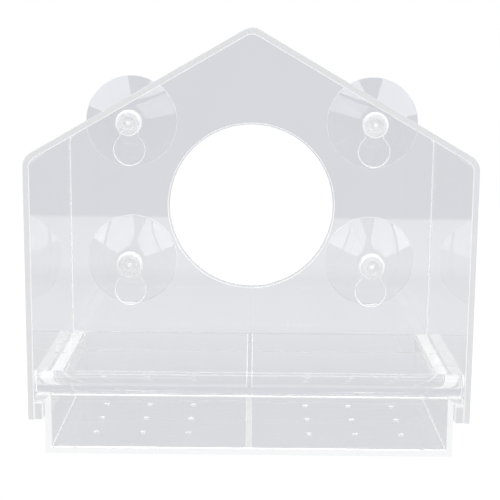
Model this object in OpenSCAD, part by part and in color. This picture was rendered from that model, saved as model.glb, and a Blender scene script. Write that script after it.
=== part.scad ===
// Window bird feeder of clear acrylic sheet: a bent house with a perch, a back
// panel hung on four suction cups by keyholes, and a seed tray that slides out.
// Sizes are in millimetres. X runs across the window, Y from the open front to
// the glass, Z up.

/* [Sheet] */
// Thickness of the acrylic sheet
sheet_t = 2.8; // [2:0.1:4]
// Inside radius of the bends at the ridge and the eaves
roof_bend_r = 5; // [1:0.5:12]

/* [House] */
// Width over the side walls
house_w = 200; // [190:1:280]
// Depth from the front edges to the back panel
house_depth = 123.2; // [100:0.1:180]
// Height of a side wall up to the sharp corner of its eave
wall_h = 119.2; // [105:0.1:160]
// Pitch of the roof in degrees
roof_pitch = 30; // [20:1:40]

/* [Back panel] */
// Diameter of the round viewing hole
window_d = 88; // [40:1:96]
// Height of the viewing hole's centre
window_z = 80.8; // [65:0.1:95]

/* [Suction cups] */
// Distance of a cup's middle from the side of the house
cup_side_inset = 34.5; // [32:0.1:45]
// Gap between an upper cup's knob and the roof
knob_roof_clear = 2.2; // [2:0.1:12]
// Height of the lower cups
cup_low_z = 48.9; // [40:0.1:55]
// Diameter of a cup over its rim
cup_d = 50; // [36:1:60]
// Depth of a cup from the back panel to the glass
cup_depth = 11.5; // [8:0.5:18]
// Thickness of a cup behind its neck
cup_web = 3.5; // [2:0.5:5]
// Width of the flat rim that seals on the glass
cup_rim_w = 1.6; // [0.8:0.1:3]
// Diameter of a cup's shoulder against the back panel
shoulder_d = 16; // [12:0.5:20]
// Diameter of a cup's neck
neck_d = 8.8; // [6:0.1:10]
// Diameter of a cup's knob
knob_d = 14; // [12:0.5:18]
// Height of a cup's knob
knob_h = 5.5; // [4.5:0.5:9]
// Radius of the rounded front edge of a knob
knob_edge_r = 2.4; // [0.5:0.1:3]
// Diameter of the dimple in a knob
dimple_d = 6.4; // [3:0.1:6.8]
// Depth of the dimple in a knob
dimple_depth = 1; // [0.5:0.1:2]

/* [Keyholes] */
// Drop from a cup's seat to the round end of its keyhole
keyhole_drop = 14.5; // [12:0.5:18]
// Clearance round a knob in the round end of a keyhole
knob_clear = 1.25; // [0.5:0.05:2]
// Clearance round a neck in the slot of a keyhole
neck_clear = 0.35; // [0.2:0.05:1]
// Play of the back panel between a cup's shoulder and knob
panel_play = 0.2; // [0.1:0.05:0.5]

/* [Perch] */
// Diameter of the perch rod
perch_d = 10; // [6:0.5:16]
// Distance of the perch behind the front edges
perch_inset = 1; // [0:0.5:10]
// Gap between the perch and the tray's top edge
perch_gap = 0.4; // [0.3:0.1:3]

/* [Tray] */
// Height of the tray
tray_h = 27.9; // [20:0.1:50]
// Distance of the tray's front behind the front edges
tray_inset = 3; // [0:0.5:10]
// Gap between the closed tray and the back panel
tray_back_gap = 0.5; // [0.3:0.1:3]
// Width of the runner bars at the feet of the side walls
runner_w = 3.8; // [2.5:0.1:8]
// Height of the runner bars
runner_h = 8.1; // [5:0.1:12]
// Gap between the tray's wings and the runners
slide_clear = 0.1; // [0.1:0.05:0.5]
// Gap between the tray's walls and the runners
tray_side_clear = 0.3; // [0.3:0.1:1.5]
// Gap between the tray's wings and the side walls
wing_clear = 0.5; // [0.3:0.1:1]

/* [Drain holes] */
// Diameter of a drain hole
drain_d = 2.2; // [1:0.1:4]
// Distance between neighbouring drain holes
drain_pitch = 22; // [15:0.5:23]
// Distance of the first column of drain holes from the middle of the tray
drain_first_x = 28.6; // [12:0.1:30]
// Distance of the first row of drain holes from the front of the tray
drain_first_y = 24.5; // [8:0.5:28]
// Columns of drain holes in each half of the tray
drain_columns = 3; // [1:1:3]
// Rows of drain holes
drain_rows = 4; // [1:1:4]

/* [Hidden] */
$fn = 96;

acrylic = [0.84, 0.87, 0.89, 0.45];
soft_pvc = [0.93, 0.94, 0.95, 0.6];

// House
half_w = house_w / 2;
inner_half_w = half_w - sheet_t;
ridge_z = wall_h + half_w * tan(roof_pitch);
// A rounded corner stands proud by this, so that its face crosses the flats beside it cleanly
corner_proud = 0.01;

// Tray, which hangs by its wings on the runners
tray_top = runner_h + slide_clear + sheet_t;
tray_floor = tray_top - tray_h + sheet_t;
tray_len = house_depth - tray_inset - tray_back_gap;
wing_half_w = inner_half_w - wing_clear;
tray_inner_half_w = inner_half_w - runner_w - tray_side_clear - sheet_t;
pane_h = tray_top - tray_floor;

// Perch
perch_y = perch_inset + perch_d / 2;
perch_z = tray_top + perch_gap + perch_d / 2;

// Cups and keyholes, with the origin on the glass in the middle of the cups
cup_x = half_w - cup_side_inset;
cup_high_z = wall_h + cup_side_inset * tan(roof_pitch)
    - (sheet_t + knob_roof_clear + knob_d / 2) / cos(roof_pitch);
slot_w = neck_d + 2 * neck_clear;
glass_y = house_depth + sheet_t + cup_depth;
cups_mid_z = (cup_low_z + cup_high_z) / 2;
dish_steps = 9;
dish_outer_power = 1.6;
dish_inner_power = 2.2;
edge_steps = 6;

// Moves a piece from the house's own corner to the frame on the glass
module placed() {
    translate([0, -glass_y, -cups_mid_z]) children();
}

// Stands a profile drawn in X and Z upright and gives it a depth in Y
module upright(y, depth) {
    translate([0, y + depth, 0]) rotate([90, 0, 0]) children();
}

// Plates

function unit(v) = v / norm(v);
function left_of(d) = [-d[1], d[0]];

// A flat plate with rounded or square corners; the outline runs clockwise and is convex
module rounded_plate(points, radii, depth) {
    last = len(points) - 1;
    out = [for (i = [0 : last]) unit(points[(i + 1) % (last + 1)] - points[i])];
    in = [for (i = [0 : last]) out[(i + last) % (last + 1)]];
    setbacks = [for (i = [0 : last]) radii[i] * tan(acos(in[i] * out[i]) / 2)];
    linear_extrude(depth) polygon([for (i = [0 : last]) each radii[i] > 0
        ? [points[i] - setbacks[i] * in[i], points[i] + setbacks[i] * out[i]] : [points[i]]]);
    for (i = [0 : last]) if (radii[i] > 0)
        translate(points[i] + setbacks[i] * out[i] - radii[i] * left_of(out[i]))
            cylinder(r = radii[i] + corner_proud, h = depth);
}

// The outline of the house, moved in from its walls and roof and down from its feet
module house_plate(inset, depth) {
    x = half_w - inset;
    eave_z = wall_h + inset * (tan(roof_pitch) - 1 / cos(roof_pitch));
    top_z = ridge_z - inset / cos(roof_pitch);
    roof_r = roof_bend_r + sheet_t - inset;
    rounded_plate(
        [[-x, -inset], [-x, eave_z], [0, top_z], [x, eave_z], [x, -inset]],
        [0, roof_r, roof_r, roof_r, 0],
        depth);
}

// Keyholes and cups

// The cut for one keyhole, with its seat at the given place
module keyhole(x, z, depth) {
    translate([x, z - keyhole_drop, 0]) cylinder(d = knob_d + 2 * knob_clear, h = depth);
    translate([x, z, 0]) cylinder(d = slot_w, h = depth);
    translate([x - slot_w / 2, z - keyhole_drop, 0]) cube([slot_w, keyhole_drop, depth]);
}

function arc(centre, r, from, to) = [for (i = [0 : edge_steps])
    let (a = from + (to - from) * i / edge_steps) centre + r * [cos(a), sin(a)]];

// Places on the two sides of a cup's dish, as radius and distance to the panel
function dish_outer(s) = let (hub = shoulder_d / 2)
    [hub + s * (cup_d / 2 - hub), panel_play + (cup_depth - panel_play) * pow(s, dish_outer_power)];
function dish_inner(s) =
    [s * (cup_d / 2 - cup_rim_w), cup_web + (cup_depth - cup_web) * pow(s, dish_inner_power)];

// Half section of a cup, with the back of the panel at 0 and the glass above it
function cup_section() = let (
    under_knob = -sheet_t - panel_play,
    top = under_knob - knob_h)
    concat(
        [for (i = [0 : dish_steps]) dish_inner(i / dish_steps)],
        [for (i = [0 : dish_steps]) dish_outer(1 - i / dish_steps)],
        [[neck_d / 2, panel_play], [neck_d / 2, under_knob], [knob_d / 2, under_knob]],
        arc([knob_d / 2 - knob_edge_r, top + knob_edge_r], knob_edge_r, 0, -90),
        [[dimple_d / 2, top], [dimple_d / 2, top + dimple_depth], [0, top + dimple_depth]]);

// One suction cup; side is -1 on the left
module suction_cup(side, z) {
    color(soft_pvc) placed() translate([side * cup_x, house_depth + sheet_t, z])
        rotate([-90, 0, 0]) rotate_extrude() polygon(cup_section());
}

// House

module house_shell() {
    color(acrylic) placed() upright(0, house_depth) difference() {
        house_plate(0, house_depth);
        translate([0, 0, -sheet_t]) house_plate(sheet_t, house_depth + 2 * sheet_t);
    }
}

module back_panel() {
    color(acrylic) placed() upright(house_depth, sheet_t) difference() {
        house_plate(0, sheet_t);
        translate([0, window_z, -sheet_t]) cylinder(d = window_d, h = 3 * sheet_t);
        for (side = [-1, 1], z = [cup_low_z, cup_high_z])
            translate([0, 0, -sheet_t]) keyhole(side * cup_x, z, 3 * sheet_t);
    }
}

module perch_rod() {
    color(acrylic) placed() translate([-inner_half_w, perch_y, perch_z])
        rotate([0, 90, 0]) cylinder(d = perch_d, h = 2 * inner_half_w);
}

// A bar along the foot of one side wall
module tray_runner(side) {
    middle = inner_half_w - runner_w / 2;
    color(acrylic) placed() translate([side * middle - runner_w / 2, 0, 0])
        cube([runner_w, house_depth, runner_h]);
}

module tray_runner_left() { tray_runner(-1); }

module tray_runner_right() { tray_runner(1); }

// Tray

module tray_channel() {
    in = tray_inner_half_w;
    out = in + sheet_t;
    wing_z = tray_top - sheet_t;
    bottom = tray_floor - sheet_t;
    color(acrylic) placed() difference() {
        upright(tray_inset, tray_len) linear_extrude(tray_len) polygon([
            [-wing_half_w, tray_top], [-in, tray_top], [-in, tray_floor],
            [in, tray_floor], [in, tray_top], [wing_half_w, tray_top],
            [wing_half_w, wing_z], [out, wing_z], [out, bottom],
            [-out, bottom], [-out, wing_z], [-wing_half_w, wing_z]]);
        for (side = [-1, 1], column = [0 : drain_columns - 1], row = [0 : drain_rows - 1])
            translate([
                side * (drain_first_x + column * drain_pitch),
                tray_inset + drain_first_y + row * drain_pitch,
                tray_floor - 2 * sheet_t])
                cylinder(d = drain_d, h = 3 * sheet_t);
    }
}

// A pane that closes one end of the channel
module tray_end_wall(y) {
    color(acrylic) placed() translate([-tray_inner_half_w, y, tray_floor])
        cube([2 * tray_inner_half_w, sheet_t, pane_h]);
}

module tray_front_wall() { tray_end_wall(tray_inset); }

module tray_back_wall() { tray_end_wall(tray_inset + tray_len - sheet_t); }

module tray_divider() {
    color(acrylic) placed() translate([-sheet_t / 2, tray_inset + sheet_t, tray_floor])
        cube([sheet_t, tray_len - 2 * sheet_t, pane_h]);
}

module suction_cup_upper_left() { suction_cup(-1, cup_high_z); }

module suction_cup_upper_right() { suction_cup(1, cup_high_z); }

module suction_cup_lower_left() { suction_cup(-1, cup_low_z); }

module suction_cup_lower_right() { suction_cup(1, cup_low_z); }

house_shell();
back_panel();
perch_rod();
tray_runner_left();
tray_runner_right();
tray_channel();
tray_front_wall();
tray_back_wall();
tray_divider();
suction_cup_upper_left();
suction_cup_upper_right();
suction_cup_lower_left();
suction_cup_lower_right();
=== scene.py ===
"""Window bird feeder of clear acrylic: the looks, built round the packed CAD model.

Every piece is a surface worked out with numpy in the CAD's own frame, in metres:
X across the window, Y from the open front to the glass, Z up.
"""
import math

import bpy
import numpy as np
from bpy.props import FloatProperty, FloatVectorProperty, IntProperty, PointerProperty
from mathutils import Euler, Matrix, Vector
from mathutils.geometry import tessellate_polygon


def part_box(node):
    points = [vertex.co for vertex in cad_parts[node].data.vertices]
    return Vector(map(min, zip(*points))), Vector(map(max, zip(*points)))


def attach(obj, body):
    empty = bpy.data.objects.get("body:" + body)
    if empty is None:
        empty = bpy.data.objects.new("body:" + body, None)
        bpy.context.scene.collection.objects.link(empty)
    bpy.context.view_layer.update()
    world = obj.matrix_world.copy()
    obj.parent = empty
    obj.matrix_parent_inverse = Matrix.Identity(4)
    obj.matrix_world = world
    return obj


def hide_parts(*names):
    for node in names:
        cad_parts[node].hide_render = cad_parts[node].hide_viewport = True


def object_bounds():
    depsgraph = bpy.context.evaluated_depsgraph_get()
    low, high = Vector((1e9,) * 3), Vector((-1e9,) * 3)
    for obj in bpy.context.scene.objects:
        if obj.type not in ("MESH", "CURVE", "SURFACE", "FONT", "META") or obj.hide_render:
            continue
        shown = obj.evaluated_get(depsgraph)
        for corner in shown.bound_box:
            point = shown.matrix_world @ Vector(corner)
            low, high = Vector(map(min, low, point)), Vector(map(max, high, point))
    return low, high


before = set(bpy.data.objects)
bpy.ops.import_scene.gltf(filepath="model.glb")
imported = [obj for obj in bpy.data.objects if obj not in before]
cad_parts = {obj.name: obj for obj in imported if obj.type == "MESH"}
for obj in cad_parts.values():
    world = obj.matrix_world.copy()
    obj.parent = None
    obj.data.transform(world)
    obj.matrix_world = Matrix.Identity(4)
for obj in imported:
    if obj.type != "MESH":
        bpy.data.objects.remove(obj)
CAD_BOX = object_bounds()

bl_info = {
    "name": "Window bird feeder",
    "version": (1, 0, 0),
    "blender": (4, 5, 0),
    "location": "3D View > Sidebar > Feeder",
    "description": "Acrylic bird feeder with suction cups, perch and sliding seed tray",
    "category": "Add Mesh",
}

# Places that the CAD gives
SHELL_LOW, SHELL_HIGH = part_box("house_shell")
PANEL_LOW, PANEL_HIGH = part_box("back_panel")
ROD_LOW, ROD_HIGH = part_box("perch_rod")
RUNNER_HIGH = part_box("tray_runner_right")[1]
CHANNEL_LOW, CHANNEL_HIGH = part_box("tray_channel")
PANE_LOW, PANE_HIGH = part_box("tray_front_wall")
CUPS = ("upper_left", "upper_right", "lower_left", "lower_right")
INNER_X = ROD_HIGH.x

# Columns of a plate's own grid (two in its plane, then its thickness) for X, Y and Z
UPRIGHT = (0, 2, 1)
SIDEWAYS = (2, 0, 1)

# Material slots of a piece, and of a plate's rim: low rounding, flat side, high rounding
FACE, EDGE, GROUND, FROST = range(4)
SAWN_RIM = EDGE, EDGE, EDGE
GROUND_RIM = EDGE, GROUND, EDGE

# Small sizes in metres, and steps of the rounded shapes
KEYHOLE_FILLET = 0.0005
DRAIN_ROUND = 0.0003
NUB_HEIGHT = 0.0006
# Width of the cup dish's edge that is painted lighter as a highlight
PAINTED_RIM_HIGHLIGHT = 0.0007
CORNER_STEPS = 6
WINDOW_STEPS, DRAIN_STEPS, TURN_STEPS = 192, 24, 128
MERGE_GRID = 1e7

# The cups' dish falls from shoulder to rim with this power
DISH_POWER = 1.15
DISH_STEPS = 40

# Radii of a cup's moulded corners: nub and its foot; dimple's floor and lip; under the knob,
# at the neck's two ends and at the shoulder; outer and inner edge of the rim
NUB_RADII = 0.0004, 0.0002
DIMPLE_RADII = 0.0005, 0.0004
NECK_RADII = 0.0006, 0.0003, 0.0004, 0.0006
RIM_RADII = 0.0001, 0.0003

# Refraction of the two plastics
ACRYLIC_IOR, PVC_IOR = 1.49, 1.53

# Studio lamps: place, size, watts, and whether they light the matt edges
LAMPS = {
    "left softbox": ((-0.66, -0.45, 0.72), (1.15, 1.15), 6.5, False),
    "right softbox": ((0.74, -0.45, 0.63), (1.15, 1.15), 6.5, False),
    "overhead strip": ((0, 0.1, 0.9), (0.6, 0.25), 1.7, True),
}
LAMP_AIM = Vector((0, -0.07, 0))
LIGHT_BOUNCES, CLEAR_BOUNCES = 160, 32
EVEN_LIGHT = 0.95

# Table top: half its width, its front and back edge, and its tone along Y in clear pieces,
# darker under and behind the feeder as a painted shadow of it
TABLE_HALF, TABLE_FRONT, TABLE_BACK = 1.2, -1.5, 0.66
TABLE_NEAR, TABLE_FAR = -0.2, 0.592
TABLE_PAINTED_SHADOW = (
    (TABLE_NEAR, 0.93), (-0.02, 0.9), (0.12, 1.0), (0.2, 0.99), (0.27, 0.965), (0.33, 1.02),
    (0.571, 1.0))


class SheetSizes(bpy.types.PropertyGroup):
    """Sizes of the bent and cut sheet."""

    thickness: FloatProperty(
        name="Sheet thickness", description="Thickness of the acrylic sheet",
        default=0.0028, min=0.002, max=0.004, unit="LENGTH")
    roof_bend: FloatProperty(
        name="Roof bend", description="Inside radius of the bends at ridge and eaves",
        default=0.005, min=0.001, max=0.012, unit="LENGTH")
    wall: FloatProperty(
        name="Wall height", description="Height of a side wall to its sharp eave corner",
        default=0.1192, min=0.105, max=0.160, unit="LENGTH")
    pitch: FloatProperty(
        name="Roof pitch", description="Slope of the roof",
        default=math.radians(30), min=math.radians(20), max=math.radians(40), unit="ROTATION")
    polish: FloatProperty(
        name="Edge round", description="Radius that polishing leaves on a cut edge",
        default=0.00035, min=0.0001, max=0.001, unit="LENGTH")
    weld: FloatProperty(
        name="Weld fillet", description="Radius of the solvent weld in an inside corner",
        default=0.0004, min=0.0003, max=0.0015, unit="LENGTH")
    seam: FloatProperty(
        name="Seam", description="Hairline between pieces at a glued seam",
        default=0.00003, min=0.00001, max=0.0002, unit="LENGTH")


class PanelSizes(bpy.types.PropertyGroup):
    """Sizes of the holes in the back panel."""

    window_d: FloatProperty(
        name="Viewing hole", description="Diameter of the round viewing hole",
        default=0.088, min=0.04, max=0.096, unit="LENGTH")
    window_z: FloatProperty(
        name="Viewing hole height", description="Height of its centre above the wall's foot",
        default=0.0808, min=0.065, max=0.095, unit="LENGTH")
    window_round: FloatProperty(
        name="Viewing hole edge", description="Radius of the viewing hole's front edge",
        default=0.0010, min=0.0003, max=0.0014, unit="LENGTH")
    keyhole_d: FloatProperty(
        name="Keyhole", description="Diameter of a keyhole's round end",
        default=0.0165, min=0.012, max=0.02, unit="LENGTH")
    keyhole_slot: FloatProperty(
        name="Keyhole slot", description="Width of a keyhole's slot",
        default=0.0095, min=0.006, max=0.011, unit="LENGTH")
    keyhole_drop: FloatProperty(
        name="Keyhole drop", description="From a cup's seat down to the round end",
        default=0.0145, min=0.012, max=0.018, unit="LENGTH")


class TraySizes(bpy.types.PropertyGroup):
    """Sizes of the seed tray's small features."""

    drain_d: FloatProperty(
        name="Drain hole", description="Diameter of a drain hole",
        default=0.0022, min=0.001, max=0.004, unit="LENGTH")
    drain_pitch: FloatProperty(
        name="Drain pitch", description="Distance between neighbouring drain holes",
        default=0.022, min=0.015, max=0.023, unit="LENGTH")
    drain_first: FloatProperty(
        name="First drain column", description="First column's distance from the middle",
        default=0.0286, min=0.012, max=0.03, unit="LENGTH")
    drain_front: FloatProperty(
        name="First drain row", description="First row's distance from the tray's front",
        default=0.0245, min=0.008, max=0.028, unit="LENGTH")
    drain_columns: IntProperty(
        name="Drain columns", description="Columns of drain holes in each half",
        default=3, min=1, max=3)
    drain_rows: IntProperty(
        name="Drain rows", description="Rows of drain holes", default=4, min=1, max=4)


class CupSizes(bpy.types.PropertyGroup):
    """Sizes of a suction cup."""

    web: FloatProperty(
        name="Web", description="Thickness of the cup behind its neck",
        default=0.0035, min=0.002, max=0.005, unit="LENGTH")
    rim: FloatProperty(
        name="Rim", description="Width of the flat rim on the glass",
        default=0.0010, min=0.0006, max=0.003, unit="LENGTH")
    shoulder_d: FloatProperty(
        name="Shoulder", description="Diameter of the shoulder at the panel",
        default=0.016, min=0.012, max=0.02, unit="LENGTH")
    neck_d: FloatProperty(
        name="Neck", description="Diameter of the neck in the keyhole",
        default=0.0088, min=0.006, max=0.01, unit="LENGTH")
    knob_d: FloatProperty(
        name="Knob", description="Diameter of the knob",
        default=0.014, min=0.012, max=0.018, unit="LENGTH")
    knob_h: FloatProperty(
        name="Knob height", description="Height of the knob",
        default=0.0055, min=0.0045, max=0.009, unit="LENGTH")
    knob_edge: FloatProperty(
        name="Knob edge", description="Radius of the knob's front edge",
        default=0.0024, min=0.0005, max=0.003, unit="LENGTH")
    dimple_d: FloatProperty(
        name="Dimple", description="Diameter of the dimple in the knob",
        default=0.0064, min=0.003, max=0.0068, unit="LENGTH")
    dimple_h: FloatProperty(
        name="Dimple depth", description="Depth of the dimple in the knob",
        default=0.001, min=0.0005, max=0.002, unit="LENGTH")
    nub: FloatProperty(
        name="Nub", description="Radius of the moulding's nub in the dimple",
        default=0.0010, min=0.0005, max=0.0015, unit="LENGTH")
    # Width of the knob's outer ring that is painted lighter as a highlight
    painted_highlight: FloatProperty(
        name="Milky ring", description="Width of the knob's milky outer ring",
        default=0.0010, min=0.0005, max=0.002, unit="LENGTH")
    play: FloatProperty(
        name="Panel play", description="Play of the panel between shoulder and knob",
        default=0.0002, min=0.0001, max=0.0005, unit="LENGTH")


class FinishColours(bpy.types.PropertyGroup):
    """Colours of the clear plastics and of the studio."""

    acrylic: FloatVectorProperty(
        name="Acrylic", description="Tint of the clear sheet", subtype="COLOR",
        size=3, min=0, max=1, default=(0.99, 0.99, 0.99))
    cut: FloatVectorProperty(
        name="Cut edge", description="Colour of the cut edges", subtype="COLOR",
        size=3, min=0, max=1, default=(0.96, 0.965, 0.97))
    ground: FloatVectorProperty(
        name="Ground edge", description="Colour of the ground edges", subtype="COLOR",
        size=3, min=0, max=1, default=(0.78, 0.785, 0.795))
    cloudy: FloatVectorProperty(
        name="Cloudy PVC", description="Colour of the knobs' cloudy middle", subtype="COLOR",
        size=3, min=0, max=1, default=(0.80, 0.805, 0.82))
    # Lighter copy of the soft PVC's colour: painted highlight on the knob's ring and nub and the
    # dish's edge
    painted_highlight: FloatVectorProperty(
        name="Milky PVC", description="Colour of the cups' milky edges", subtype="COLOR",
        size=3, min=0, max=1, default=(0.93, 0.935, 0.94))
    pvc: FloatVectorProperty(
        name="Soft PVC", description="Tint of the suction cups", subtype="COLOR",
        size=3, min=0, max=1, default=(0.97, 0.97, 0.975))
    paper: FloatVectorProperty(
        name="Backdrop paper", description="Backdrop as the clear pieces show it",
        subtype="COLOR", size=3, min=0, max=1, default=(0.69, 0.70, 0.735))
    table: FloatVectorProperty(
        name="Table", description="Table as the clear pieces show it",
        subtype="COLOR", size=3, min=0, max=1, default=(0.79, 0.80, 0.825))


GROUPS = {
    "feeder_sheet": SheetSizes, "feeder_panel": PanelSizes, "feeder_tray": TraySizes,
    "feeder_cup": CupSizes, "feeder_finish": FinishColours,
}


# Outlines


def round_outline(corners, radii, steps=12):
    """Closed outline with rounded corners, as points and outward normals.

    At a corner the direction turns evenly from the side that comes in to the side
    that goes out. The normal is that direction turned a quarter to the right, and a
    point is the arc's middle plus the radius times the normal. A corner of radius 0
    stays one point, with the normal of its half turn.
    """
    p = np.asarray(corners, float)
    r = np.broadcast_to(np.asarray(radii, float), len(p))
    b = np.roll(p, -1, 0) - p
    b /= np.linalg.norm(b, axis=1, keepdims=True)
    a = np.roll(b, 1, 0)
    turn = np.arctan2(a[:, 0] * b[:, 1] - a[:, 1] * b[:, 0], (a * b).sum(1))
    bend = np.sign(turn) * r
    start = p - a * (r * np.tan(np.abs(turn) / 2))[:, None]
    middle = start + np.stack([-a[:, 1], a[:, 0]], 1) * bend[:, None]
    way = np.arctan2(a[:, 1], a[:, 0])[:, None] + turn[:, None] * np.linspace(0, 1, steps + 1)
    normal = np.stack([np.sin(way), -np.cos(way)], -1)
    point = middle[:, None] + normal * bend[:, None, None]
    keep = (r > 0)[:, None] | (np.arange(steps + 1) == steps // 2)
    return point[keep], normal[keep]


def rectangle(x0, x1, z0, z1):
    """Corners of a rectangle, in order."""
    return [(x0, z0), (x1, z0), (x1, z1), (x0, z1)]


def arc(x, z, r, start, end, out, steps):
    """Part of a circle as points and normals, which face out (1) or in (-1)."""
    a = np.radians(np.linspace(start, end, steps))
    ray = np.stack([np.cos(a), np.sin(a)], 1)
    return np.array([x, z]) + r * ray, out * ray


def round_hole(x, z, d, steps):
    """A whole circle of given diameter whose normals face in, as a hole's side does."""
    return arc(x, z, d / 2, 0, 360 - 360 / steps, -1, steps)


def keyhole_outline(x, z, size):
    """A keyhole round a seat at x, z: a slot's half circle above, a round end below.

    A fillet of radius q lies against the slot's side, w from the middle, and against
    the round end of radius R, so its middle is w + q across and
    sqrt((R + q)^2 - (w + q)^2) above the round end's middle.
    """
    big, w, q = size.keyhole_d / 2, size.keyhole_slot / 2, KEYHOLE_FILLET
    low = z - size.keyhole_drop
    across, up = w + q, math.sqrt((big + q) ** 2 - (w + q) ** 2)
    lean = math.degrees(math.atan2(up, across))
    runs = [
        arc(x, z, w, 0, 180, -1, 25),
        arc(x - across, low + up, q, 0, -lean, 1, 7),
        arc(x, low, big, 180 - lean, 360 + lean, -1, 73),
        arc(x + across, low + up, q, 180 + lean, 180, 1, 7),
    ]
    return np.concatenate([r[0] for r in runs]), np.concatenate([r[1] for r in runs])


# Surfaces


def rim(outline, low, high, radii, steps=5):
    """Side of a plate between two faces, with a rounding or a fillet along both.

    The grid runs over the edge profile and the outline. Over a quarter turn a, a point
    lies r (1 - sin a) inside the outline and |r| (1 - cos a) off the face. A radius below
    0 leads outwards to the face, as a fillet does.
    """
    points, normals = outline
    a = np.linspace(0, np.pi / 2, steps + 1)
    a = np.concatenate([a, a[::-1]])[:, None]
    half = np.arange(len(a))[:, None] > steps
    r = np.where(half, *(np.broadcast_to(radius, len(points)) for radius in radii[::-1]))
    off = np.abs(r) * (1 - np.cos(a))
    flat = points - (r * (1 - np.sin(a)))[..., None] * normals
    side = np.broadcast_to(np.sin(a)[..., None] * normals, flat.shape)
    up = np.sign(r) * np.where(half, np.cos(a), -np.cos(a))
    return np.dstack([flat, np.where(half, high - off, low + off)]), np.dstack([side, up])


def grid_quads(rows, columns, first):
    """Faces of a grid that closes on itself along its columns."""
    index = first + np.arange(rows * columns).reshape(rows, columns)
    after = np.roll(index, -1, 1)
    return np.stack([index[:-1], index[1:], after[1:], after[:-1]], -1)


def fill(loops):
    """Triangles between an outline and the holes in it, over the loops' points in turn."""
    flat = [np.column_stack([loop, np.zeros(len(loop))]).tolist() for loop in loops]
    return np.array(tessellate_polygon(flat))


class Surface:
    """Points, normals and faces of a piece, gathered patch by patch."""

    def __init__(self):
        self.points, self.normals, self.count = [], [], 0
        self.faces, self.slots, self.flat = [], [], []

    def add_points(self, points, normals):
        """Adds points with their normals and gives the first one's number."""
        first = self.count
        self.points.append(points.reshape(-1, 3))
        self.normals.append(normals.reshape(-1, 3))
        self.count += len(self.points[-1])
        return first

    def add_faces(self, faces, slot, flat=None):
        """Adds faces, which take their points' normals or one normal of their own."""
        self.faces.append(faces.reshape(-1, faces.shape[-1]))
        self.slots.append(np.broadcast_to(slot, faces.shape[:-1]).ravel())
        self.flat.append(flat)

    def build(self, name):
        """Makes the mesh, with each face turned to the side of its corners' normals.

        Points that fall together become one. A quad with one side of no length becomes a
        triangle, and a face with less than three corners left is dropped.
        """
        points, normals = np.concatenate(self.points), np.concatenate(self.normals)
        _, kept, merged = np.unique(
            np.round(points * MERGE_GRID).astype(int), axis=0, return_index=True,
            return_inverse=True)
        faces, sides, slots = [], [], []
        for patch, slot, flat in zip(self.faces, self.slots, self.flat):
            side = normals[patch] if flat is None else np.broadcast_to(flat, (*patch.shape, 3))
            corner = points[patch]
            cross = np.cross(corner[:, 1] - corner[:, 0], corner[:, 2] - corner[:, 0])
            cross += np.cross(corner[:, 2] - corner[:, 0], corner[:, -1] - corner[:, 0])
            wrong = (cross * side.mean(1)).sum(1) < 0
            patch = merged.ravel()[np.where(wrong[:, None], patch[:, ::-1], patch)]
            side = np.where(wrong[:, None, None], side[:, ::-1], side)
            short = patch == np.roll(patch, -1, 1)
            whole, bent = ~short.any(1), (short.sum(1) == 1) & (patch.shape[1] == 4)
            order = (short[bent].argmax(1)[:, None] + np.arange(1, 4)) % 4
            rest = np.arange(len(order))[:, None], order
            for part, turn, mask in (
                    (patch[whole], side[whole], whole),
                    (patch[bent][rest], side[bent][rest], bent)):
                faces += part.tolist()
                sides.append(turn.reshape(-1, 3))
                slots.append(slot[mask])
        mesh = bpy.data.meshes.new(name)
        mesh.from_pydata(points[kept].tolist(), [], faces)
        mesh.polygons.foreach_set("use_smooth", np.ones(len(faces), bool))
        mesh.polygons.foreach_set("material_index", np.concatenate(slots).astype(np.int32))
        mesh.normals_split_custom_set(np.concatenate(sides))
        mesh.update()
        piece = bpy.data.objects.new(name, mesh)
        bpy.context.scene.collection.objects.link(piece)
        return piece


def plate(edges, low, high, axes, faces):
    """A plate of given thickness: two flat faces and a rim at every edge.

    An edge is an outline, its two radii, and the slots of its rim's three parts; the
    last argument gives the slots of the low and the high face.
    """
    made = Surface()
    place = list(axes)
    grids = []
    for outline, radii, slots in edges:
        grid, normal = rim(outline, low, high, radii)
        first = made.add_points(grid[..., place], normal[..., place])
        quads = grid_quads(*grid.shape[:2], first)
        side = len(quads) // 2
        for part, slot in zip((quads[:side], quads[side], quads[side + 1:]), slots):
            made.add_faces(part, slot)
        grids.append((first, grid))
    out = np.array([0.0, 0.0, 1.0])[place]
    for row, slot, way in ((0, faces[0], -out), (-1, faces[1], out)):
        index = np.concatenate([
            first + row % len(grid) * grid.shape[1] + np.arange(grid.shape[1])
            for first, grid in grids])
        made.add_faces(index[fill([grid[row][:, :2] for _, grid in grids])], slot, way)
    return made


def turned(section, normals, middle, axis, steps=96, slots=FACE):
    """A section turned round an axis, from pole to pole.

    The section gives radius and place along the axis; at an angle a the radius has the
    parts cos a and sin a across the axis. The slots are those of the section's points.
    """
    slots = np.broadcast_to(slots, len(section))
    rows = np.minimum(slots[1:-2], slots[2:-1])[:, None]
    a = np.linspace(0, 2 * np.pi, steps, endpoint=False)
    place = np.roll(np.arange(3), axis)

    def spin(part):
        ring = part[:, 0, None]
        along = np.broadcast_to(part[:, 1, None], (len(part), steps))
        return np.stack([along, ring * np.cos(a), ring * np.sin(a)], -1)[..., place]

    made = Surface()
    body, facing = spin(section[1:-1]), spin(normals[1:-1])
    first = made.add_points(body + np.asarray(middle), facing)
    made.add_faces(grid_quads(*body.shape[:2], first), rows)
    ends = spin(section[[0, -1]])[:, 0] + np.asarray(middle)
    sides = spin(np.array([[0.0, 1.0], [0.0, 1.0]]))[:, 0]
    sides *= np.sign(normals[[0, -1], 1])[:, None]
    poles = made.add_points(ends, sides)
    around = np.arange(steps)
    after = np.roll(around, -1)
    last = first + (len(body) - 1) * steps
    for pole, row, slot in ((poles, first, slots[0]), (poles + 1, last, slots[-1])):
        fan = np.stack([np.full(steps, pole), row + around, row + after], 1)
        made.add_faces(fan, slot)
    return made


# Materials


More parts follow.
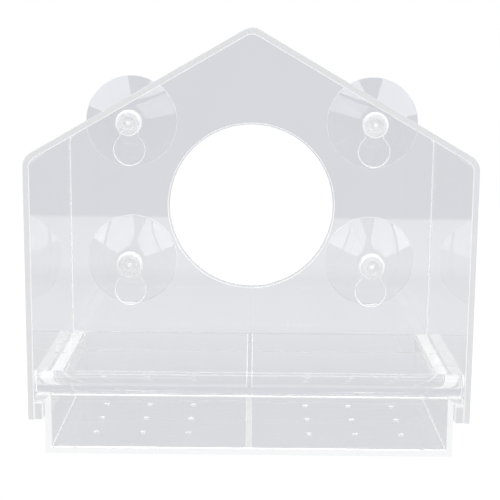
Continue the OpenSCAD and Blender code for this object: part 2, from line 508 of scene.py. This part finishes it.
class Nodes:
    """A node tree that is being wired up."""

    def __init__(self, tree):
        self.tree = tree

    def add(self, kind, values=None, **settings):
        """A new node; a value that is a socket is linked, any other is set."""
        node = self.tree.nodes.new(kind)
        for key, value in settings.items():
            setattr(node, key, value)
        for key, value in (values or {}).items():
            if isinstance(value, bpy.types.NodeSocket):
                self.tree.links.new(value, node.inputs[key])
            else:
                node.inputs[key].default_value = value
        return node

    def math(self, operation, a, b=0.0):
        """Output of a new Math node."""
        return self.add("ShaderNodeMath", {0: a, 1: b}, operation=operation).outputs[0]


def node_group(name, inputs, outputs):
    """An empty node group with named sockets: the tree, its input node, its output node."""
    tree = bpy.data.node_groups.new(name, "ShaderNodeTree")
    for socket, kind, default in inputs:
        made = tree.interface.new_socket(socket, in_out="INPUT", socket_type=kind)
        if default is not None:
            made.default_value = default
    for socket, kind in outputs:
        tree.interface.new_socket(socket, in_out="OUTPUT", socket_type=kind)
    nodes = Nodes(tree)
    return nodes, nodes.add("NodeGroupInput"), nodes.add("NodeGroupOutput")


def handled_surface():
    """Group: wiped-on haze and hairline scratches of a handled clear plastic.

    Haze is soft cloud noise. A scratch is where a stretched noise crosses its middle
    value; two sets run at different slants.
    """
    nodes, given, made = node_group(
        "handled_surface",
        [("Vector", "NodeSocketVector", None), ("Haze Size", "NodeSocketFloat", 30.0),
         ("Scratch Size", "NodeSocketFloat", 260.0)],
        [("Haze", "NodeSocketFloat"), ("Scratches", "NodeSocketFloat")])
    cloud = nodes.add("ShaderNodeTexNoise", {
        "Vector": given.outputs["Vector"], "Scale": given.outputs["Haze Size"],
        "Detail": 4.0, "Roughness": 0.55})
    haze = nodes.add("ShaderNodeMapRange", {
        "Value": cloud.outputs["Fac"], "From Min": 0.42, "From Max": 0.72})
    lines = []
    for slant in (0.5, -0.9):
        turn = nodes.add("ShaderNodeMapping", {
            "Vector": given.outputs["Vector"], "Rotation": (slant, slant, slant),
            "Scale": (1.0, 0.06, 0.06)})
        fibre = nodes.add("ShaderNodeTexNoise", {
            "Vector": turn.outputs[0], "Scale": given.outputs["Scratch Size"], "Detail": 1.0})
        off = nodes.math("ABSOLUTE", nodes.math("SUBTRACT", fibre.outputs["Fac"], 0.5))
        lines.append(nodes.add("ShaderNodeMapRange", {
            "Value": off, "From Min": 0.0, "From Max": 0.012,
            "To Min": 1.0, "To Max": 0.0}).outputs[0])
    nodes.tree.links.new(haze.outputs[0], made.inputs["Haze"])
    nodes.tree.links.new(nodes.math("MAXIMUM", *lines), made.inputs["Scratches"])
    return nodes.tree


def saw_marks():
    """Group: the fine steps that a saw or laser leaves across a cut edge."""
    nodes, given, made = node_group(
        "saw_marks",
        [("Vector", "NodeSocketVector", None), ("Pitch", "NodeSocketFloat", 900.0)],
        [("Height", "NodeSocketFloat"), ("Dull", "NodeSocketFloat")])
    wave = nodes.add("ShaderNodeTexNoise", {
        "Vector": given.outputs["Vector"], "Scale": given.outputs["Pitch"], "Detail": 2.0})
    patch = nodes.add("ShaderNodeTexNoise", {
        "Vector": given.outputs["Vector"], "Scale": 90.0, "Detail": 3.0})
    nodes.tree.links.new(wave.outputs["Fac"], made.inputs["Height"])
    nodes.tree.links.new(patch.outputs["Fac"], made.inputs["Dull"])
    return nodes.tree


def see_through(name, colour, ior, clear, smooth, rough, edge=False):
    """A clear plastic: Principled glass that lets lamps through, with haze and scratches in
    its roughness and a faint ripple in its normal."""
    groups = bpy.data.node_groups
    material = bpy.data.materials.new(name)
    material.use_nodes = True
    nodes = Nodes(material.node_tree)
    material.node_tree.nodes.clear()
    place = nodes.add("ShaderNodeTexCoord").outputs["Object"]
    worn = nodes.add("ShaderNodeGroup", node_tree=groups["handled_surface"])
    nodes.tree.links.new(place, worn.inputs["Vector"])
    roughness = nodes.add("ShaderNodeMapRange", {
        "Value": worn.outputs["Haze"], "To Min": smooth, "To Max": rough}).outputs[0]
    tint = nodes.add("ShaderNodeMix", {
        0: worn.outputs["Haze"], 6: (*colour, 1.0),
        7: (*(c * 0.985 for c in colour), 1.0)}, data_type="RGBA")
    height = nodes.math("MULTIPLY", worn.outputs["Scratches"], 0.3)
    if edge:
        sawn = nodes.add("ShaderNodeGroup", node_tree=groups["saw_marks"])
        nodes.tree.links.new(place, sawn.inputs["Vector"])
        height = sawn.outputs["Height"]
        roughness = nodes.add("ShaderNodeMapRange", {
            "Value": sawn.outputs["Dull"], "From Min": 0.3, "From Max": 0.7,
            "To Min": smooth, "To Max": rough}).outputs[0]
    ripple = nodes.add("ShaderNodeBump", {
        "Height": height, "Strength": 0.015 if edge else 0.03, "Distance": 0.0001})
    plastic = nodes.add("ShaderNodeBsdfPrincipled", {
        "Base Color": tint.outputs[2], "Roughness": roughness, "IOR": ior,
        "Transmission Weight": clear, "Metallic": 0.0, "Normal": ripple.outputs[0]})
    lamps = nodes.add("ShaderNodeBsdfTransparent", {"Color": (0.92, 0.92, 0.92, 1.0)})
    path = nodes.add("ShaderNodeLightPath")
    mixed = nodes.add("ShaderNodeMixShader", {
        "Fac": path.outputs["Is Shadow Ray"], 1: plastic.outputs[0], 2: lamps.outputs[0]})
    nodes.add("ShaderNodeOutputMaterial", {"Surface": mixed.outputs[0]})
    return material


def clear_plastics():
    """The materials of the feeder, made once and kept by name."""
    if "polished_acrylic" not in bpy.data.materials:
        look = bpy.context.scene.feeder_finish
        handled_surface()
        saw_marks()
        see_through("polished_acrylic", look.acrylic, ACRYLIC_IOR, 1.0, 0.0, 0.03)
        see_through("cut_acrylic", look.cut, ACRYLIC_IOR, 0.05, 0.3, 0.45, edge=True)
        see_through("ground_acrylic", look.ground, ACRYLIC_IOR, 0.1, 0.3, 0.4, edge=True)
        see_through("frosted_acrylic", look.acrylic, ACRYLIC_IOR, 0.45, 0.25, 0.4)
        see_through("moulded_pvc", look.pvc, PVC_IOR, 1.0, 0.02, 0.06)
        # A lighter copy of the soft PVC, for the painted highlight on knob ring, nub and dish
        # edge
        see_through("painted_light_pvc", look.painted_highlight, PVC_IOR, 0.15, 0.3, 0.4)
        see_through("cloudy_pvc", look.cloudy, PVC_IOR, 0.25, 0.22, 0.32)
    return bpy.data.materials


def dress(piece, node, body, slot, *materials):
    """Gives a piece its materials and puts it in the place of its CAD node."""
    for name in materials:
        piece.data.materials.append(clear_plastics()[name])
    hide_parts(node)
    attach(piece, body)


def dress_acrylic(piece, node, body):
    """Dresses a piece in the four acrylic finishes, in the order of its slots."""
    dress(piece, node, body, "clear_acrylic", "polished_acrylic", "cut_acrylic",
          "ground_acrylic", "frosted_acrylic")


# Pieces


def house_corners(inset):
    """Corners of the house's outline, its walls and roof moved in by part of the sheet."""
    sheet = bpy.context.scene.feeder_sheet
    foot = SHELL_LOW.z
    x = INNER_X + sheet.thickness - inset
    slope, lean = math.tan(sheet.pitch), 1 / math.cos(sheet.pitch)
    eave = foot + sheet.wall + inset * (slope - lean)
    ridge = foot + sheet.wall + (INNER_X + sheet.thickness) * slope - inset * lean
    return x, foot, eave, ridge


def cup_seat(name):
    """Where a suction cup's middle stands on the back panel, in X and Z."""
    low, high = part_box("suction_cup_" + name)
    return (low.x + high.x) / 2, (low.z + high.z) / 2


class FEEDER_OT_bend_house(bpy.types.Operator):
    """Bends the strip that makes walls and roof."""

    bl_idname = "feeder.bend_house"
    bl_label = "Bend house"

    def execute(self, context):
        sheet = context.scene.feeder_sheet
        x, foot, eave, ridge = house_corners(0)
        xi, _, eave_i, ridge_i = house_corners(sheet.thickness)
        bar, weld = RUNNER_HIGH.z, RUNNER_HIGH.z + sheet.weld
        corners = [
            (-x, foot), (-xi, foot), (-xi, bar), (-xi, weld), (-xi, eave_i), (0, ridge_i),
            (xi, eave_i), (xi, weld), (xi, bar), (xi, foot), (x, foot), (x, eave), (0, ridge),
            (-x, eave)]
        end, inside, outside = sheet.polish, sheet.roof_bend, sheet.roof_bend + sheet.thickness
        radii = [end, end, 0, 0, inside, inside, inside, 0, 0, end, end,
                 outside, outside, outside]
        outline = round_outline(corners, radii)
        points, normals = outline
        facing = ((np.array([0.0, eave - x]) - points) * normals).sum(1)
        welded = (facing > 0) & (points[:, 1] > bar + sheet.weld / 2)
        strip = plate(
            [(outline, (end, np.where(welded, -sheet.weld, end)),
              (np.where(facing > 0, EDGE, GROUND), FACE, np.where(welded, FROST, FACE)))],
            SHELL_LOW.y, SHELL_HIGH.y - sheet.seam, UPRIGHT, (GROUND, FACE))
        dress_acrylic(strip.build("bent_house"), "house_shell", "house")
        return {"FINISHED"}


class FEEDER_OT_cut_panel(bpy.types.Operator):
    """Cuts the back panel with its viewing hole and four keyholes."""

    bl_idname = "feeder.cut_panel"
    bl_label = "Cut back panel"

    def execute(self, context):
        sheet, size = context.scene.feeder_sheet, context.scene.feeder_panel
        x, foot, eave, ridge = house_corners(0)
        bend = sheet.roof_bend + sheet.thickness
        outer = round_outline(
            [(-x, foot), (x, foot), (x, eave), (0, ridge), (-x, eave)],
            [2 * sheet.polish, 2 * sheet.polish, bend, bend, bend])
        window = round_hole(0, foot + size.window_z, size.window_d, WINDOW_STEPS)
        keyholes = [keyhole_outline(*cup_seat(cup), size) for cup in CUPS]
        end = sheet.polish
        # The first row of the viewing hole's front rounding is white cut edge: a painted
        # highlight along its front arris
        ring = np.array([EDGE, FACE, FACE, FACE, FACE])[:, None]
        front = np.where(outer[0][:, 1] < foot + end / 2, 2 * end, end)
        edges = [(outer, (front, end), (EDGE, FACE, FACE)),
                 (window, (size.window_round, end), (ring, FACE, FACE))]
        edges += [(hole, (end, end), GROUND_RIM) for hole in keyholes]
        panel = plate(edges, PANEL_LOW.y, PANEL_HIGH.y, UPRIGHT, (FACE, FACE))
        dress_acrylic(panel.build("hole_panel"), "back_panel", "house")
        return {"FINISHED"}


class FEEDER_OT_fit_perch(bpy.types.Operator):
    """Turns the perch rod that stands between the side walls."""

    bl_idname = "feeder.fit_perch"
    bl_label = "Fit perch"

    def execute(self, context):
        sheet = context.scene.feeder_sheet
        r, half = (ROD_HIGH.y - ROD_LOW.y) / 2, ROD_HIGH.x - sheet.seam
        corners = [(0, -half), (r, -half), (r, half), (0, half)]
        section, normals = round_outline(corners, [0, sheet.polish, sheet.polish, 0])
        middle = (ROD_LOW + ROD_HIGH) / 2
        normals[[0, -1]] = (0, -1), (0, 1)
        ends = (np.abs(section[:, 1]) > half - sheet.polish) & (section[:, 0] > r / 2)
        rod = turned(section, normals, middle, 0, TURN_STEPS, np.where(ends, EDGE, FACE))
        dress_acrylic(rod.build("perch_bar"), "perch_rod", "house")
        return {"FINISHED"}


class FEEDER_OT_fit_runners(bpy.types.Operator):
    """Lays the bars on which the tray slides along the feet of the walls."""

    bl_idname = "feeder.fit_runners"
    bl_label = "Fit runners"

    def execute(self, context):
        sheet = context.scene.feeder_sheet
        seam = sheet.seam
        for side in ("left", "right"):
            low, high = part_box("tray_runner_" + side)
            outline = round_outline(
                rectangle(low.x + seam, high.x - seam, low.z + seam, high.z - seam),
                sheet.polish, CORNER_STEPS)
            bar = plate(
                [(outline, (sheet.polish, sheet.polish), SAWN_RIM)], low.y,
                high.y - seam, UPRIGHT, (GROUND, GROUND))
            dress_acrylic(bar.build("runner_bar_" + side), "tray_runner_" + side, "house")
        return {"FINISHED"}


class FEEDER_OT_fold_tray(bpy.types.Operator):
    """Folds the tray's channel, drills its floor and sets its panes."""

    bl_idname = "feeder.fold_tray"
    bl_label = "Fold tray"

    def execute(self, context):
        sheet, size = context.scene.feeder_sheet, context.scene.feeder_tray
        self.channel(sheet, size)
        self.panes(sheet)
        return {"FINISHED"}

    def channel(self, sheet, size):
        """The channel, its floor replaced by two sheets of triangles round the holes.

        A run is the straight side after a corner: runs 0 and 6 are the floor, 2 and 10 the
        undersides of the wings, 4 and 8 their tops. Wings and weld fillets are frosted, and
        the front ends of the wings are ground.
        """
        t, steps = sheet.thickness, CORNER_STEPS
        wing, inner, outer = CHANNEL_HIGH.x, PANE_HIGH.x, PANE_HIGH.x + t
        top, floor, foot = CHANNEL_HIGH.z, PANE_LOW.z, CHANNEL_LOW.z
        corners = [
            (-outer, foot), (outer, foot), (outer, top - t), (wing, top - t), (wing, top),
            (inner, top), (inner, floor), (-inner, floor), (-inner, top), (-wing, top),
            (-wing, top - t), (-outer, top - t)]
        welded = np.isin(np.arange(len(corners)), (2, 6, 7, 11))
        outline = round_outline(corners, np.where(welded, sheet.weld, sheet.polish), steps)
        seams = np.repeat(welded, steps + 1) & (np.arange(len(outline[0])) % (steps + 1) < steps)
        runs = np.arange(len(corners)) * (steps + 1) + steps
        seams[runs[[2, 4, 8, 10]]] = True
        end = sheet.polish
        made = plate(
            [(outline, (end, end), (EDGE, np.where(seams, FROST, FACE), EDGE))],
            CHANNEL_LOW.y, CHANNEL_HIGH.y, UPRIGHT, (EDGE, EDGE))
        flat, front = 1, 3
        reach = np.abs(np.concatenate(made.points)[made.faces[front]].mean(1)[:, 0])
        made.slots[front] = np.where(reach > outer, GROUND, EDGE)
        floors = runs[[0, 6]]
        open_quads = made.faces[flat][floors]
        made.faces[flat] = np.delete(made.faces[flat], floors, 0)
        made.slots[flat] = np.delete(made.slots[flat], floors)

        across = size.drain_first + size.drain_pitch * np.arange(size.drain_columns)
        along = size.drain_front + size.drain_pitch * np.arange(size.drain_rows)
        rings = []
        for x in (*-across, *across):
            for y in CHANNEL_LOW.y + along:
                hole = round_hole(x, y, size.drain_d, DRAIN_STEPS)
                grid, normal = rim(hole, foot, floor, (DRAIN_ROUND, DRAIN_ROUND), 3)
                first = made.add_points(grid, normal)
                made.add_faces(grid_quads(*grid.shape[:2], first), EDGE)
                rings.append((first, grid))
        points = np.concatenate(made.points)
        for corner, row in zip(open_quads, (0, -1)):
            loops = [points[corner][:, :2]] + [grid[row][:, :2] for _, grid in rings]
            index = [corner] + [
                first + (len(grid) - 1 if row else 0) * grid.shape[1] + np.arange(grid.shape[1])
                for first, grid in rings]
            made.add_faces(np.concatenate(index)[fill(loops)], FACE, (0, 0, -1 - 2 * row))
        dress_acrylic(made.build("seed_channel"), "tray_channel", "tray")

    def panes(self, sheet):
        """The two end panes, the front one with sawn top edges, and the divider between."""
        seam, end, weld = sheet.seam, sheet.polish, sheet.weld + sheet.seam
        for name in ("front", "back"):
            low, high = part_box(f"tray_{name}_wall")
            outline = round_outline(
                rectangle(low.x + seam, high.x - seam, low.z + seam, high.z),
                [weld, weld, end, end], CORNER_STEPS)
            upper = (outline[0][:, 1] > high.z - 2 * end) & (name == "front")
            sawn = np.where(upper, EDGE, FACE)
            pane = plate(
                [(outline, (end, end), (sawn, FACE, sawn))], low.y, high.y, UPRIGHT,
                (FACE, FACE))
            dress_acrylic(pane.build(f"seed_{name}_pane"), f"tray_{name}_wall", "tray")
        low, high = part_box("tray_divider")
        outline = round_outline(
            rectangle(low.y + seam, high.y - seam, low.z + seam, high.z), end, CORNER_STEPS)
        ends = np.where(outline[0][:, 0] < low.y + seam + end / 2, FROST, FACE)
        divider = plate(
            [(outline, (end, end), (EDGE, ends, EDGE))], low.x, high.x, SIDEWAYS, (FACE, FACE))
        dress_acrylic(divider.build("seed_divider"), "tray_divider", "tray")


class FEEDER_OT_mould_cups(bpy.types.Operator):
    """Moulds the four suction cups."""

    bl_idname = "feeder.mould_cups"
    bl_label = "Mould cups"

    def section(self, cup, size, depth, panel):
        """Half section of a cup as radius and place behind the panel's back, and its slots.

        The outside follows play + (depth - play) s^p, where s runs from the shoulder to the
        rim and p is the dish power. The hollow lies behind it by the rim's wall v, which
        grows behind the shoulder to the web w as v + (w - v) (1 - q^2)^2, where q runs from
        middle to the shoulder. Where they face the room, the knob's outer ring, the nub and
        the dish's thin edge take a lighter copy of the PVC as a painted highlight; the rest of
        the knob is cloudy.
        """
        s = np.linspace(0, 1, DISH_STEPS)
        hub, neck, knob, dimple = (
            d / 2 for d in (cup.shoulder_d, cup.neck_d, cup.knob_d, cup.dimple_d))
        under = -panel - cup.play
        top = under - cup.knob_h
        low = top + cup.dimple_h
        stem = np.array([
            (0, low - NUB_HEIGHT), (cup.nub, low - NUB_HEIGHT), (cup.nub, low), (dimple, low),
            (dimple, top), (knob, top), (knob, under), (neck, under), (neck, cup.play)])

        def front(r):
            part = np.clip((r - hub) / (size / 2 - hub), 0, 1)
            return cup.play + (depth - cup.play) * part ** DISH_POWER

        r = hub + s * (size / 2 - hub)
        outside = np.stack([r, front(r)], 1)
        r = s * (size / 2 - cup.rim)
        web, edge = cup.web - cup.play, depth - front(r[-1])
        boss = np.clip(1 - (r / hub) ** 2, 0, 1) ** 2
        hollow = np.stack([r, front(r) + edge + (web - edge) * boss], 1)[::-1]
        radii = np.concatenate([
            [0], NUB_RADII, DIMPLE_RADII, [cup.knob_edge], NECK_RADII,
            np.zeros(DISH_STEPS - 2), RIM_RADII, np.zeros(DISH_STEPS - 1)])
        points, normals = round_outline(np.concatenate([stem, outside, hollow]), radii, 8)
        normals[[0, -1]] = (0, -1), (0, 1)
        r, place = points.T
        slack, faces_room = 0.0001, normals[:, 1] < 0.1
        # The knob's outer ring and nub, and the dish's thin edge, take the lighter PVC copy
        # where they face the room: a painted highlight
        ring = (place < under) & ((r > knob - cup.painted_highlight) | (r < cup.nub + slack))
        painted_highlight = (ring | (r > size / 2 - PAINTED_RIM_HIGHLIGHT)) & faces_room
        return points, normals, np.where(painted_highlight, EDGE, np.where(place < under / 2, GROUND, FACE))

    def execute(self, context):
        cup = context.scene.feeder_cup
        for name in CUPS:
            node = "suction_cup_" + name
            low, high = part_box(node)
            x, z = cup_seat(name)
            section, normals, slots = self.section(
                cup, high.x - low.x, high.y - PANEL_HIGH.y, PANEL_HIGH.y - PANEL_LOW.y)
            made = turned(section, normals, (x, PANEL_HIGH.y, z), 1, TURN_STEPS, slots)
            piece = made.build("cup_" + name)
            dress(piece, node, "window_cups", "soft_pvc", "moulded_pvc", "painted_light_pvc",
                  "cloudy_pvc")
        return {"FINISHED"}


class FEEDER_OT_set_stage(bpy.types.Operator):
    """Sets up camera, lamps, backdrop and table."""

    bl_idname = "feeder.set_stage"
    bl_label = "Set stage"

    camera_place = (0.00112, -0.67585, 0.08920)
    camera_turn = (79.769, -0.501, 0.227)
    camera_lens = 89.177

    def execute(self, context):
        scene = context.scene
        scene.view_settings.view_transform = "Standard"
        scene.cycles.max_bounces = LIGHT_BOUNCES
        scene.cycles.transmission_bounces = LIGHT_BOUNCES
        scene.cycles.glossy_bounces = LIGHT_BOUNCES
        scene.cycles.transparent_max_bounces = CLEAR_BOUNCES
        lens = bpy.data.cameras.new("camera")
        lens.lens, lens.sensor_width = self.camera_lens, 36.0
        camera = bpy.data.objects.new("camera", lens)
        camera.location = self.camera_place
        camera.rotation_euler = Euler([math.radians(a) for a in self.camera_turn])
        scene.collection.objects.link(camera)
        scene.camera = camera
        self.lamps(scene)
        self.backdrop(scene)
        self.table(scene)
        return {"FINISHED"}

    def lamps(self, scene):
        """Two softboxes that only show as reflections, and a strip overhead."""
        for name, (place, size, watts, lights_matt) in LAMPS.items():
            lamp = bpy.data.lights.new(name, "AREA")
            lamp.shape, lamp.size, lamp.size_y, lamp.energy = "RECTANGLE", *size, watts
            stand = bpy.data.objects.new(name, lamp)
            stand.location = place
            away = LAMP_AIM - Vector(place)
            stand.rotation_euler = away.to_track_quat("-Z", "Y").to_euler()
            stand.visible_diffuse = lights_matt
            scene.collection.objects.link(stand)

    def backdrop(self, scene):
        """White where the camera looks straight at it, pale paper in the clear pieces, and an
        even light on the rest."""
        world = bpy.data.worlds.new("studio")
        scene.world = world
        world.use_nodes = True
        world.cycles.sampling_method = "NONE"
        world.node_tree.nodes.clear()
        nodes = Nodes(world.node_tree)
        path = nodes.add("ShaderNodeLightPath")
        paper = nodes.add("ShaderNodeBackground", {
            "Color": (*scene.feeder_finish.paper, 1.0), "Strength": 1.0})
        white = nodes.add("ShaderNodeBackground", {"Color": (1, 1, 1, 1), "Strength": 1.0})
        even = nodes.add("ShaderNodeBackground", {
            "Color": (1, 1, 1, 1), "Strength": EVEN_LIGHT})
        lit = nodes.add("ShaderNodeMixShader", {
            "Fac": nodes.math("MINIMUM", path.outputs["Diffuse Depth"], 1.0),
            1: paper.outputs[0], 2: even.outputs[0]})
        mixed = nodes.add("ShaderNodeMixShader", {
            "Fac": path.outputs["Is Camera Ray"], 1: lit.outputs[0], 2: white.outputs[0]})
        nodes.add("ShaderNodeOutputWorld", {"Surface": mixed.outputs[0]})

    def table(self, scene):
        """A pale table top, white to the camera, which keeps the feeder's shadow.
        In the clear pieces it glows in its own tone with a painted shadow of the feeder.
        """
        mesh = bpy.data.meshes.new("table")
        z = CAD_BOX[0].z
        mesh.from_pydata(
            [(x, y, z) for x, y in rectangle(-TABLE_HALF, TABLE_HALF, TABLE_FRONT, TABLE_BACK)],
            [], [(0, 1, 2, 3)])
        table = bpy.data.objects.new("table", mesh)
        scene.collection.objects.link(table)
        material = bpy.data.materials.new("table_top")
        material.use_nodes = True
        material.node_tree.nodes.clear()
        nodes = Nodes(material.node_tree)
        path = nodes.add("ShaderNodeLightPath")
        matt = nodes.add("ShaderNodeBsdfDiffuse", {"Color": (0.12, 0.12, 0.12, 1)})
        lift = nodes.add("ShaderNodeEmission", {"Color": (1, 1, 1, 1), "Strength": 0.9})
        seen = nodes.add("ShaderNodeAddShader", {0: matt.outputs[0], 1: lift.outputs[0]})
        place = nodes.add("ShaderNodeSeparateXYZ", {
            0: nodes.add("ShaderNodeTexCoord").outputs["Object"]})
        along = nodes.add("ShaderNodeMapRange", {
            "Value": place.outputs["Y"], "From Min": TABLE_NEAR, "From Max": TABLE_FAR})
        painted_shadow_ramp = nodes.add("ShaderNodeValToRGB", {"Fac": along.outputs[0]})
        stops = painted_shadow_ramp.color_ramp.elements
        stops[1].color = (*scene.feeder_finish.paper, 1.0)
        # Stops are darker under and behind the feeder: its painted shadow on the glowing table
        for y, part in TABLE_PAINTED_SHADOW:
            away = (y - TABLE_NEAR) / (TABLE_FAR - TABLE_NEAR)
            stop = stops[0] if y == TABLE_NEAR else stops.new(away)
            stop.color = (*(c * part for c in scene.feeder_finish.table), 1.0)
        # For the clear pieces the table glows with the ramp's tone, painted shadow included
        pale = nodes.add("ShaderNodeEmission", {"Color": painted_shadow_ramp.outputs[0], "Strength": 1.0})
        through = nodes.math(
            "MAXIMUM", path.outputs["Is Glossy Ray"], path.outputs["Is Transmission Ray"])
        through = nodes.math("GREATER_THAN", through, path.outputs["Diffuse Depth"])
        mixed = nodes.add("ShaderNodeMixShader", {
            "Fac": through, 1: seen.outputs[0], 2: pale.outputs[0]})
        nodes.add("ShaderNodeOutputMaterial", {"Surface": mixed.outputs[0]})
        mesh.materials.append(material)


PIECES = (
    FEEDER_OT_bend_house, FEEDER_OT_cut_panel, FEEDER_OT_fit_perch, FEEDER_OT_fit_runners,
    FEEDER_OT_fold_tray, FEEDER_OT_mould_cups)


class FEEDER_PT_sidebar(bpy.types.Panel):
    """Lists the feeder's pieces and sizes."""

    bl_label = "Window feeder"
    bl_idname = "FEEDER_PT_sidebar"
    bl_space_type = "VIEW_3D"
    bl_region_type = "UI"
    bl_category = "Feeder"

    def draw(self, context):
        for operator in (FEEDER_OT_set_stage, *PIECES):
            self.layout.operator(operator.bl_idname)
        for name, kind in GROUPS.items():
            box = self.layout.box()
            box.label(text=kind.__doc__)
            for key in kind.__annotations__:
                box.prop(getattr(context.scene, name), key)


CLASSES = (*GROUPS.values(), FEEDER_OT_set_stage, *PIECES, FEEDER_PT_sidebar)


def register():
    for kind in CLASSES:
        bpy.utils.register_class(kind)
    for name, kind in GROUPS.items():
        setattr(bpy.types.Scene, name, PointerProperty(type=kind))


def unregister():
    for name in GROUPS:
        delattr(bpy.types.Scene, name)
    for kind in reversed(CLASSES):
        bpy.utils.unregister_class(kind)


def main():
    register()
    bpy.ops.feeder.set_stage()
    bpy.ops.feeder.bend_house()
    bpy.ops.feeder.cut_panel()
    bpy.ops.feeder.fit_perch()
    bpy.ops.feeder.fit_runners()
    bpy.ops.feeder.fold_tray()
    bpy.ops.feeder.mould_cups()


if __name__ == "__main__":
    main()
